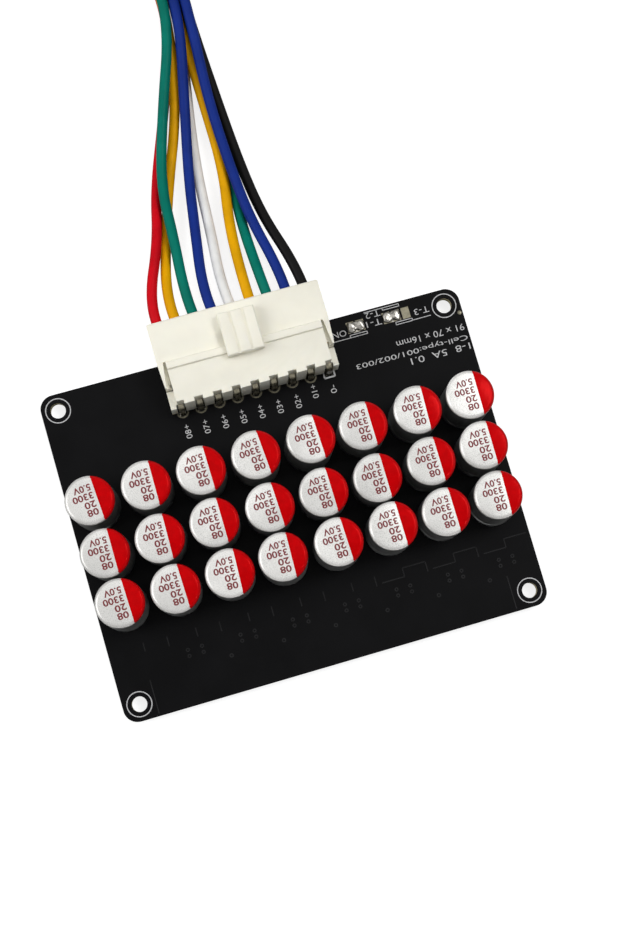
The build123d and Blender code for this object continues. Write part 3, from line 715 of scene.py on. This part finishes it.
class BALANCER_OT_add_print(Operator):
    """Adds the white rings, lines and figures on the board"""

    bl_idname = "balancer.add_print"
    bl_label = "Add white print"

    def execute(self, context):
        board = context.scene.balancer.board
        parts = []
        outer = board.ring_radius + board.ring_width / 2
        for x, y in hole_places():
            ring = flat_ring(outer, board.ring_width, board.print_height)
            parts.append(put(ring, x, y, BOARD_TOP))
        parts += self.pin_figures(board)
        parts += self.jumper_marks(board)
        parts += self.data_lines(board)
        finish(join(parts), "white_print", "board", white_print(board))
        return {"FINISHED"}

    def label(self, board, text, x, y, width, height, turn):
        """Raised white lettering about a point on the board."""
        text = lettering(text, width, height, board.print_height)
        return put(text, x, y, BOARD_TOP + board.print_height / 2, turn)

    def pin_figures(self, board):
        """The cell number beside each pin, read towards the connector, and the last pin's mark."""
        usual_y = 16.5
        moved_y = {0: 17.0, 1: 17.6}
        parts = []
        for number, x in enumerate(pin_places()):
            cell = PIN_COUNT - 1 - number
            text = f"0{cell}+" if cell else "0-"
            width = 2.95 * MM if cell else 1.75 * MM
            y = moved_y.get(cell, usual_y) * MM
            parts.append(self.label(board, text, x, y, width, board.letter_height, HALF_TURN / 2))
        half_side = 1.12 * MM
        left = pin_places()[-1] - half_side
        right = pin_places()[-1] + half_side
        y = PIN_ROW_Y * MM
        corners = [(left, y), (left, y - half_side), (right, y - half_side), (right, y)]
        return parts + bars(corners, 0.34 * MM, board.print_height)

    def bracket(self, board, line, box):
        """A printed line that ends in a long hollow box, both in millimetres."""
        x1, x2, y = [value * MM for value in line]
        left, right, low, high = [value * MM for value in box]
        corners = [(left, low), (right, low), (right, high), (left, high), (left, low)]
        parts = []
        for course in ([(x1, y), (x2, y)], corners):
            parts += bars(course, board.line_width, board.print_height)
        return parts

    def jumper_marks(self, board):
        """The bracket and the name of each jumper."""
        letter_height = 1.3 * MM
        parts = self.bracket(board, (16.31, 20.91, 26.54), (20.91, 24.64, 26.54, 27.07))
        parts += self.bracket(board, (25.01, 29.06, 30.97), (29.06, 32.71, 30.47, 30.97))
        parts += self.bracket(board, (34.64, 38.71, 26.74), (31.06, 34.64, 26.67, 27.2))
        for text, x, y, width in (
            ("ON", 18.81, 27.87, 3.0),
            ("T-2", 26.76, 30.17, 3.2),
            ("T-1", 26.56, 28.32, 3.3),
            ("T-3", 37.06, 28.22, 3.2),
        ):
            place = (x * MM, y * MM, width * MM)
            parts.append(self.label(board, text, *place, letter_height, HALF_TURN))
        return parts

    def data_lines(self, board):
        """Three lines with the board's size and ratings, each from its start to its end."""
        letter_height = 1.4 * MM
        parts = []
        for text, start, end, y in (
            ("91 x 70 x 16mm", 44.83, 29.93, 22.51),
            ("Cell-type:001/002/003", 44.93, 20.33, 20.31),
            ("1-8  5A  0.1", 44.93, 31.83, 18.21),
        ):
            place = ((start + end) / 2 * MM, y * MM, (start - end) * MM)
            parts.append(self.label(board, text, *place, letter_height, HALF_TURN))
        return parts


class BALANCER_OT_add_capacitors(Operator):
    """Adds the capacitors with their printed tops in place of the plain cans"""

    bl_idname = "balancer.add_capacitors"
    bl_label = "Add capacitors"

    def execute(self, context):
        cans = context.scene.balancer.capacitors
        pattern = self.pattern(cans)
        stances = [stance for part in CAN_STANCES for stance in part]
        for number, (lean_x, lean_y, turn) in enumerate(stances):
            place = f"{number // CAP_COLUMNS + 1}_{number % CAP_COLUMNS + 1}"
            low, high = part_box(f"capacitor_{place}")
            can = copy_of(pattern, "can")
            axis = Vector((lean_x * MM, lean_y * MM, cans.height))
            lean = Vector((0, 0, 1)).rotation_difference(axis).to_matrix().to_4x4()
            can.data.transform(lean @ Matrix.Rotation(math.radians(turn), 4, "Z"))
            put(can, (low[0] + high[0]) / 2, (low[1] + high[1]) / 2, low[2])
            finish(can, f"can_{place}", "capacitor_can", stands_for=[f"capacitor_{place}"])
        bpy.data.objects.remove(pattern)
        return {"FINISHED"}

    def profile(self, cans):
        """Rolled foot, crimp groove, wall and rounded shoulder, from the base upwards."""
        foot_steps = 3
        groove_steps = 8
        shoulder_steps = 6
        line_angle = 38
        line_spread = 4
        points = [(cans.radius - 2 * cans.foot, 0)]
        for step in range(foot_steps + 1):
            angle = math.pi / 2 * step / foot_steps
            across = cans.radius - cans.foot * (1 - math.sin(angle))
            points.append((across, cans.foot * (1 - math.cos(angle))))
        low = cans.groove_height - cans.groove_width / 2
        for step in range(groove_steps + 1):
            share = step / groove_steps
            depth = cans.groove_depth * math.sin(math.pi * share) ** 2
            points.append((cans.radius - depth, low + share * cans.groove_width))
        angles = [(90 * step / shoulder_steps, 0) for step in range(shoulder_steps + 1)]
        angles += [(line_angle - line_spread, 0), (line_angle + line_spread, 0)]
        angles.append((line_angle, cans.rim_line))
        for degrees, depth in sorted(angles):
            angle = math.radians(degrees)
            bend = cans.shoulder - depth
            across = cans.radius - cans.shoulder + bend * math.cos(angle)
            points.append((across, cans.height - cans.shoulder + bend * math.sin(angle)))
        return points

    def pattern(self, cans):
        """One can on its base, with the red field parted from the silver top."""
        can = turned(self.profile(cans), cans.sides)
        for material in (drawn_aluminium(cans), silver_lacquer(cans), red_lacquer(cans)):
            can.data.materials.append(material)
        top = cans.height - cans.shoulder
        for face in can.data.polygons:
            face.select = face.center.z > top
        for edge in can.data.edges:
            edge.select = all(can.data.vertices[v].co.z > top - TOLERANCE for v in edge.vertices)
        for vertex in can.data.vertices:
            vertex.select = vertex.co.z > top - TOLERANCE
        select_only(can)
        bpy.ops.object.mode_set(mode="EDIT")
        bpy.ops.mesh.bisect(plane_co=(cans.field_edge, 0, 0), plane_no=(1, 0, 0))
        bpy.ops.object.mode_set(mode="OBJECT")
        for face in can.data.polygons:
            if face.center.z > top:
                face.material_index = 2 if face.center.x > cans.field_edge else 1
        smooth(can)
        figures = self.figures(cans)
        figures.data.materials.clear()
        figures.data.materials.append(printing_ink(cans))
        return join([can, figures])

    def figures(self, cans):
        """Four short lines, turned half round, that start beside the red field."""
        start = 1.1
        height = 1.42
        weight = 0.026
        z = cans.height + cans.ink_height / 2
        labels = []
        for text, width, y in (
            (cans.volt_text, 3.6, 2.5),
            (cans.value_text, 4.25, 0.78),
            ("20", 2.35, -0.98),
            ("08", 2.3, -2.6),
        ):
            label = lettering(text, width * MM, height * MM, cans.ink_height, weight)
            labels.append(put(label, (start - width / 2) * MM, y * MM, z, HALF_TURN))
        return join(labels)


class BALANCER_OT_add_connector(Operator):
    """Adds the moulded header and plug, the pads under the pins and the metal parts' finish, whose tin
    is darkened as painted shade
    """

    bl_idname = "balancer.add_connector"
    bl_label = "Add connector"

    def execute(self, context):
        connector = context.scene.balancer.connector
        nylon = moulded_nylon("ivory_nylon", connector.nylon)
        ease("header_body", connector.edge, "header_moulding", "header_plastic", nylon)
        ease("plug_housing", connector.edge, "plug_moulding", "plug_plastic", nylon)
        # The posts' tin is darkened as painted shade: it paints in the dark surroundings that the
        # posts mirror
        tin = tinned_metal("tinned_post", tone(connector.tin, 0.58), 0.2, 0.36)
        for number in range(PIN_COUNT):
            coat_node(f"header_pin_{number + 1}", tin)
        coat_node("crimp_contacts", tin)
        thickness = 0.05 * MM
        pads = []
        for x in pin_places()[:-1]:
            ring = flat_ring(connector.pad_radius, connector.pad_width, thickness, sides=48)
            pads.append(put(ring, x, PIN_ROW_Y * MM, BOARD_TOP))
        # The pads' tin is darkened further, also as painted shade in place of mirrored dark
        # surroundings
        grey = tinned_metal("pad_tin", tone(connector.tin, 0.24), 0.35, 0.5)
        finish(join(pads), "pin_pads", "solder", grey)
        return {"FINISHED"}


class BALANCER_OT_add_jumpers(Operator):
    """Adds the solder blobs of the two jumpers beside the connector"""

    bl_idname = "balancer.add_jumpers"
    bl_label = "Add jumpers"

    def execute(self, context):
        connector = context.scene.balancer.connector
        blobs = [
            self.blob(22.6 * MM, 28.65 * MM, seed=3),
            self.blob(30.5 * MM, 28.72 * MM, seed=5),
        ]
        # The bright solder is darkened as painted shade, a painted dark reflection, so that only the
        # lamps give it bright glints
        bright = tinned_metal("bright_solder", tone(connector.solder, 0.38), 0.12, 0.2, 0.03 * MM)
        finish(join(blobs), "solder_blobs", "solder", bright, stands_for=["jumper_solder"])
        # The jumper pads' tin is darkened as painted shade as well
        coat_node("jumper_pads", tinned_metal("tinned_pad", tone(connector.tin, 0.42), 0.4, 0.6))
        return {"FINISHED"}

    def blob(self, x, y, seed):
        """A sphere pressed flat, drawn in at its waist and cut off at the pads."""
        half_length = 1.95 * MM
        half_width = 1.45 * MM
        rise = 0.66 * MM
        lumps = 0.12
        pad_thickness = 0.05 * MM
        deselect()
        bpy.ops.mesh.primitive_uv_sphere_add(segments=40, ring_count=20, radius=1)
        piece = bpy.context.object
        chance = random.Random(seed)
        phase = chance.uniform(0, 6)
        for vertex in piece.data.vertices:
            px, py, pz = vertex.co
            waist = 0.62 + 0.5 * abs(px)
            lump = 1 + lumps * math.sin(6 * px + phase) * math.cos(5 * py + phase)
            across = math.copysign(abs(py) ** 0.6, py) * waist * lump
            height = (0.6 + 0.7 * abs(px)) * lump
            vertex.co = (half_length * px, half_width * across, rise * pz * height)
        select_only(piece)
        bpy.ops.object.mode_set(mode="EDIT")
        bpy.ops.mesh.select_all(action="SELECT")
        bpy.ops.mesh.bisect(plane_co=(0, 0, 0), plane_no=(0, 0, 1), clear_inner=True, use_fill=True)
        bpy.ops.object.mode_set(mode="OBJECT")
        smooth(piece, 60)
        return put(piece, x, y, BOARD_TOP + pad_thickness)


class BALANCER_OT_add_wires(Operator):
    """Adds the nine wires, folded once and tied beyond the view"""

    bl_idname = "balancer.add_wires"
    bl_label = "Add wires"

    def execute(self, context):
        wires = context.scene.balancer.wires
        skins = {
            name: wire_insulation(f"{name}_insulation", getattr(wires, name))
            for name in ("red", "yellow", "green", "blue", "white", "black")
        }
        strand = tinned_metal("tinned_strand", context.scene.balancer.connector.tin, 0.3, 0.5)
        nylon = moulded_nylon("natural_nylon", srgb(226, 224, 214))
        tie = ease("cable_tie", 0.12 * MM, "tie_strap", "tie_nylon", nylon)
        ends = self.bare_ends(wires)
        finish(ends, "bare_ends", "tinned_strand", strand, stands_for=["stripped_ends"])
        for number, (name, middle) in enumerate(WIRE_ROUTES.items()):
            start_x = FIRST_WIRE_X + number * PIN_PITCH
            start = (start_x, WIRE_START_Y, PIN_AXIS_Z)
            lead = (start_x, WIRE_START_Y + WIRE_LEAD_LENGTH, PIN_AXIS_Z)
            points = [start, lead, *middle, *self.bundled(name, wires)]
            wire = self.curve(name, points, wires.diameter / 2)
            skin = name.split("_")[2]
            finish(
                wire,
                name.replace("wire", "lead"),
                f"insulation_{skin}",
                skins[skin],
                stands_for=[name, "wire_hank"],
            )
        return {"FINISHED"}

    def bundled(self, name, wires):
        """The points of one wire in the bundle, beside the bundle's own middle line."""
        column, layer = BUNDLE_SEATS[name]
        pitch = wires.pitch / MM
        z = self.bundle_height() + layer * pitch
        line = [Vector(point) for point in HANK_ROUTE]
        points = [(line[0].x + column * pitch, GATHER_Y, z)]
        for number, here in enumerate(line):
            before = line[max(number - 1, 0)]
            after = line[min(number + 1, len(line) - 1)]
            runs = [run.normalized() for run in (here - before, after - here) if run.length]
            along = (runs[0] + runs[-1]).normalized()
            side = Vector((along.y, -along.x)) * column * pitch / along.dot(runs[0])
            points.append((here.x + side.x, here.y + side.y, z))
        return points

    def bundle_height(self):
        """The height of the bundle's middle, in millimetres."""
        low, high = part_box("wire_hank")
        return (low[2] + high[2]) / 2 / MM

    def curve(self, name, points, radius):
        """A round wire along a smooth spline of order three."""
        data = bpy.data.curves.new(name, "CURVE")
        data.dimensions = "3D"
        data.bevel_depth = radius
        data.bevel_resolution = 6
        data.resolution_u = 14
        data.use_fill_caps = True
        spline = data.splines.new("NURBS")
        spline.points.add(len(points) - 1)
        for knot, point in zip(spline.points, points):
            knot.co = (*(Vector(point) * MM), 1.0)
        spline.order_u = 3
        spline.use_endpoint_u = True
        wire = bpy.data.objects.new(name, data)
        bpy.context.scene.collection.objects.link(wire)
        return wire

    def bare_ends(self, wires):
        """Twisted strands: a lobed rod whose rings turn along its length, at each wire's end."""
        lobes = 6
        faces_per_lobe = 5
        lobe_depth = 0.14
        rings = 12
        turns = 0.45
        radius = wires.strand / 2
        sides = lobes * faces_per_lobe
        deselect()
        bpy.ops.mesh.primitive_cylinder_add(vertices=sides, radius=radius, depth=wires.bare)
        rod = bpy.context.object
        bpy.ops.object.mode_set(mode="EDIT")
        for ring in range(1, rings):
            height = wires.bare * (ring / rings - 0.5)
            bpy.ops.mesh.select_all(action="SELECT")
            bpy.ops.mesh.bisect(plane_co=(0, 0, height), plane_no=(0, 0, 1))
        bpy.ops.object.mode_set(mode="OBJECT")
        for vertex in rod.data.vertices:
            angle = math.atan2(vertex.co.y, vertex.co.x)
            reach = radius * (1 - lobe_depth + lobe_depth * abs(math.cos(angle * lobes / 2)))
            turned_to = angle + math.tau * turns * vertex.co.z / wires.bare
            vertex.co.x = reach * math.cos(turned_to)
            vertex.co.y = reach * math.sin(turned_to)
        smooth(rod, 60)
        rods = []
        end_x, end_y = HANK_ROUTE[-1]
        for column, layer in BUNDLE_SEATS.values():
            twin = copy_of(rod, "bare_end")
            twin.data.transform(Matrix.Rotation(HALF_TURN / 2, 4, "X"))
            x = end_x * MM - column * wires.pitch
            z = self.bundle_height() * MM + layer * wires.pitch
            rods.append(put(twin, x, end_y * MM - wires.bare / 2, z))
        bpy.data.objects.remove(rod)
        return join(rods)


class BALANCER_OT_dress_underside(Operator):
    """Adds the solder cones and leads and finishes the parts under the board"""

    bl_idname = "balancer.dress_underside"
    bl_label = "Dress underside"

    def execute(self, context):
        connector = context.scene.balancer.connector
        solder = tinned_metal("solder_cone", connector.solder, 0.16, 0.3, 0.02 * MM)
        tin = tinned_metal("cut_lead", connector.tin, 0.25, 0.4)
        cone = self.cone(foot=1.9 * MM / 2, tip=0.75 * MM / 2)
        radius = 0.3 * MM
        lead = turned([(0.26 * MM, 0), (radius, 0.08 * MM), (radius, BOARD_BOTTOM)], sides=16)
        smooth(lead)
        half_spacing = 2.5 * MM
        cones = []
        leads = []
        for row in range(1, CAP_ROWS + 1):
            for column in range(1, CAP_COLUMNS + 1):
                low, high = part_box(f"capacitor_{row}_{column}")
                for side in (-half_spacing, half_spacing):
                    x = (low[0] + high[0]) / 2 + side
                    y = (low[1] + high[1]) / 2
                    cones.append(put(copy_of(cone, "cone"), x, y, BOARD_BOTTOM))
                    leads.append(put(copy_of(lead, "lead"), x, y, 0))
        finish(join(cones), "lead_solder", "solder", solder, stands_for=["capacitor_solder"])
        finish(join(leads), "lead_ends", "tinned_lead", tin, stands_for=["capacitor_leads"])
        wide = self.cone(foot=3.0 * MM / 2, tip=1.66 * MM / 2)
        y = PIN_ROW_Y * MM
        wides = [put(copy_of(wide, "cone"), x, y, BOARD_BOTTOM) for x in pin_places()]
        finish(join(wides), "post_solder", "solder", solder, stands_for=["pin_solder"])
        for pattern in (cone, lead, wide):
            bpy.data.objects.remove(pattern)
        self.dress_parts(tin)
        return {"FINISHED"}

    def cone(self, foot, tip):
        """A solder fillet with a hollow flank, hanging from the origin."""
        steps = 6
        height = 1.1 * MM
        hollow = 2.2
        profile = []
        for step in range(steps + 1):
            share = step / steps
            profile.append((tip + (foot - tip) * share**hollow, -height * (1 - share)))
        piece = turned(profile, sides=24)
        smooth(piece, 60)
        return piece

    def dress_parts(self, tin):
        """Finishes the moulded parts and chips and adds the chips' terminals."""
        compound = moulding_compound("moulding_compound", srgb(42, 42, 44), 0.6)
        ease("power_switches", 0.06 * MM, "switch_bodies", "moulded_black", compound)
        ease("driver_body", 0.06 * MM, "driver_moulding", "moulded_black", compound)
        coat_node("driver_pins", tin)
        coat_node("chip_resistors", moulding_compound("resistor_glaze", srgb(38, 38, 44), 0.3))
        coat_node("chip_capacitors", moulding_compound("ceramic_body", srgb(176, 146, 112), 0.4))
        over = 0.02 * MM
        inner_share = 0.66
        caps = []
        for node, half, across, height in (
            ("chip_resistors", 0.8 * MM, 0.42 * MM, 0.46 * MM),
            ("chip_capacitors", 1.6 * MM, 0.82 * MM, 1.22 * MM),
        ):
            low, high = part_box(node)
            y = (low[1] + high[1]) / 2
            pitch = (high[0] - low[0] - 2 * half) / (CAP_COLUMNS - 1)
            for column in range(CAP_COLUMNS):
                x = low[0] + half + column * pitch
                for side in (-1, 1):
                    outer = x + side * (half + over)
                    inner = x + side * half * inner_share
                    start = (min(outer, inner), y - across, BOARD_BOTTOM - height)
                    end = (max(outer, inner), y + across, BOARD_BOTTOM)
                    caps.append(box_piece(start, end))
        finish(join(caps), "chip_terminals", "solder", tin)


class BALANCER_OT_set_stage(Operator):
    """Sets the floor, the lights, the world and the camera"""

    bl_idname = "balancer.set_stage"
    bl_label = "Set stage"

    def execute(self, context):
        stage = context.scene.balancer.stage
        self.floor(stage)
        for lamp in LAMPS:
            self.lamp(*lamp)
        self.world(context, stage)
        self.camera(context, stage)
        context.scene.view_settings.view_transform = "Standard"
        return {"FINISHED"}

    def floor(self, stage):
        """A pale floor that looks white from the camera and still takes the shadow."""
        deselect()
        bpy.ops.mesh.primitive_plane_add(size=stage.floor_size)
        floor = bpy.context.object
        floor.name = "pale_floor"
        white = (1, 1, 1, 1)
        material = shader("pale_floor", stage.floor, 0.9, Specular_IOR_Level=0.1, Emission_Color=white)
        rays = add_node(material.node_tree, "ShaderNodeLightPath")
        glow = calculate("MULTIPLY", rays, "Is Camera Ray", stage.floor_glow)
        link(glow, "Value", surface(material), "Emission Strength")
        floor.data.materials.append(material)

    def lamp(self, name, place, width, power):
        """A square lamp that shines at the origin."""
        bpy.ops.object.light_add(type="AREA", location=place)
        lamp = bpy.context.object
        lamp.name = name
        lamp.data.shape = "SQUARE"
        lamp.data.size = width
        lamp.data.energy = power
        lamp.rotation_mode = "QUATERNION"
        lamp.rotation_quaternion = (-Vector(place)).to_track_quat("-Z", "Y")

    def world(self, context, stage):
        """White where it is seen, mirrored or seen through, and a soft light elsewhere."""
        world = bpy.data.worlds.new("soft_studio")
        context.scene.world = world
        world.use_nodes = True
        tree = world.node_tree
        background = tree.nodes["Background"]
        background.inputs["Color"].default_value = (1, 1, 1, 1)
        rays = add_node(tree, "ShaderNodeLightPath")
        mirrored = calculate("MAXIMUM", rays, "Is Camera Ray")
        link(rays, "Is Glossy Ray", mirrored, 1)
        seen = calculate("MAXIMUM", mirrored, "Value")
        link(rays, "Is Transmission Ray", seen, 1)
        level = add_node(tree, "ShaderNodeMapRange", To_Min=stage.ambient, To_Max=1.0)
        link(seen, "Value", level, "Value")
        link(level, "Result", background, "Strength")

    def camera(self, context, stage):
        """The photograph's camera."""
        data = bpy.data.cameras.new("photo_camera")
        data.lens = stage.lens
        data.shift_x = stage.shift_x
        data.shift_y = stage.shift_y
        camera = bpy.data.objects.new("photo_camera", data)
        context.scene.collection.objects.link(camera)
        forward = Vector(stage.view_direction).normalized()
        right = forward.cross(Vector(stage.view_up)).normalized()
        up = right.cross(forward)
        axes = Matrix((right, up, -forward)).transposed().to_4x4()
        camera.matrix_world = Matrix.Translation(stage.eye) @ axes
        context.scene.camera = camera


class BALANCER_PT_panel(Panel):
    """Lists the steps that finish the board"""

    bl_idname = "BALANCER_PT_panel"
    bl_label = "Active balancer board"
    bl_space_type = "VIEW_3D"
    bl_region_type = "UI"
    bl_category = "Balancer"

    def draw(self, context):
        for operator in OPERATORS:
            self.layout.operator(operator.bl_idname)


OPERATORS = (
    BALANCER_OT_set_stage,
    BALANCER_OT_add_wires,
    BALANCER_OT_dress_board,
    BALANCER_OT_add_print,
    BALANCER_OT_add_capacitors,
    BALANCER_OT_add_connector,
    BALANCER_OT_add_jumpers,
    BALANCER_OT_dress_underside,
)
CLASSES = (
    BALANCER_PG_capacitors,
    BALANCER_PG_board,
    BALANCER_PG_connector,
    BALANCER_PG_wires,
    BALANCER_PG_stage,
    BALANCER_PG_settings,
    *OPERATORS,
    BALANCER_PT_panel,
)


def register():
    for cls in CLASSES:
        bpy.utils.register_class(cls)
    bpy.types.Scene.balancer = PointerProperty(type=BALANCER_PG_settings)


def unregister():
    del bpy.types.Scene.balancer
    for cls in reversed(CLASSES):
        bpy.utils.unregister_class(cls)


def main():
    register()
    bpy.ops.balancer.set_stage()
    bpy.ops.balancer.add_wires()
    bpy.ops.balancer.dress_board()
    bpy.ops.balancer.add_print()
    bpy.ops.balancer.add_capacitors()
    bpy.ops.balancer.add_connector()
    bpy.ops.balancer.add_jumpers()
    bpy.ops.balancer.dress_underside()


if __name__ == "__main__":
    main()
